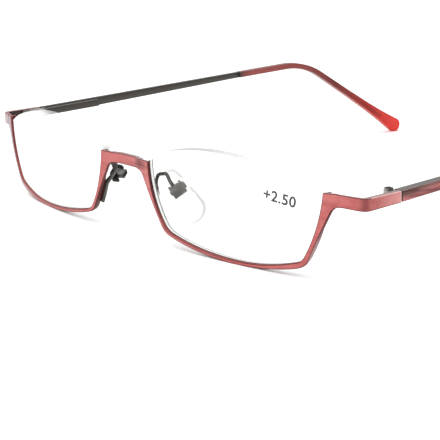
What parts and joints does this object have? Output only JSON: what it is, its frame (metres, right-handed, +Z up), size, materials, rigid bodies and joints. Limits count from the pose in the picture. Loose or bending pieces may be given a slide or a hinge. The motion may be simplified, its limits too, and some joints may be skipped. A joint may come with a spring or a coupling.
{
  "type": "half-frame reading glasses",
  "caption": "Half-frame reading glasses in red-painted metal with bare lens tops, sprung folding temples, rocking nose pads and clear red temple tips.",
  "frame": {"origin": "centre of the bounding box's foot: the glasses stand open on both rims and both tips", "axes": "+X to the wearer's left, +Y from the front back towards the ears, +Z up"},
  "size_m": [0.1314, 0.1574, 0.0249],
  "materials": {
    "front_paint": "satin",
    "temple_paint": "satin",
    "bare_steel": "satin",
    "lens_acrylic": "polished",
    "pad_silicone": "satin",
    "pad_core": "gloss",
    "tip_acetate": "gloss"
  },
  "bodies": {
    "front": {"bridge": "front_paint", "left_rim": "front_paint", "left_end_piece": "front_paint", "left_lens": "lens_acrylic", "left_pad_arm": "bare_steel", "left_pad_box": "bare_steel", "left_pad_screw": "bare_steel", "left_hinge_leaf": "bare_steel", "left_hinge_screw": "bare_steel", "right_rim": "front_paint", "right_end_piece": "front_paint", "right_lens": "lens_acrylic", "right_pad_arm": "bare_steel", "right_pad_box": "bare_steel", "right_pad_screw": "bare_steel", "right_hinge_leaf": "bare_steel", "right_hinge_screw": "bare_steel"},
    "left_knuckle": {"left_hinge_slide": "bare_steel", "left_spring_stop": "bare_steel", "left_hinge_spring": "bare_steel"},
    "left_arm": {"left_temple": "temple_paint", "left_spring_housing": "bare_steel", "left_temple_tip": "tip_acetate"},
    "left_pad": {"left_nose_pad": "pad_silicone", "left_pad_insert": "pad_core"},
    "right_knuckle": {"right_hinge_slide": "bare_steel", "right_spring_stop": "bare_steel", "right_hinge_spring": "bare_steel"},
    "right_arm": {"right_temple": "temple_paint", "right_spring_housing": "bare_steel", "right_temple_tip": "tip_acetate"},
    "right_pad": {"right_nose_pad": "pad_silicone", "right_pad_insert": "pad_core"}
  },
  "joints": [
    {"name": "left_fold", "type": "hinge", "parent": "front", "child": "left_knuckle", "pos_m": [0.0626, -0.05805, 0.01795], "axis": [0, -0.0655, 0.9979], "range_deg": [-5, 92]},
    {"name": "left_slide", "type": "slide", "parent": "left_knuckle", "child": "left_arm", "axis": [-0.0218, 0.9976, 0.0655], "range_m": [0, 0.0012], "stiffness_N_per_m": 600, "springref_m": -0.0004, "deforming": ["left_hinge_spring"]},
    {"name": "left_pad_rock", "type": "hinge", "parent": "front", "child": "left_pad", "pos_m": [0.0112, -0.07188, 0.01183], "axis": [0.3623, 0.7414, 0.5648], "range_deg": [-6, 6]},
    {"name": "right_fold", "type": "hinge", "parent": "front", "child": "right_knuckle", "pos_m": [-0.0626, -0.05805, 0.01795], "axis": [0, 0.0655, -0.9979], "range_deg": [-5, 86]},
    {"name": "right_slide", "type": "slide", "parent": "right_knuckle", "child": "right_arm", "axis": [0.0218, 0.9976, 0.0655], "range_m": [0, 0.0012], "stiffness_N_per_m": 600, "springref_m": -0.0004, "deforming": ["right_hinge_spring"]},
    {"name": "right_pad_rock", "type": "hinge", "parent": "front", "child": "right_pad", "pos_m": [-0.0112, -0.07188, 0.01183], "axis": [-0.3623, 0.7414, 0.5648], "range_deg": [-6, 6]}
  ]
}
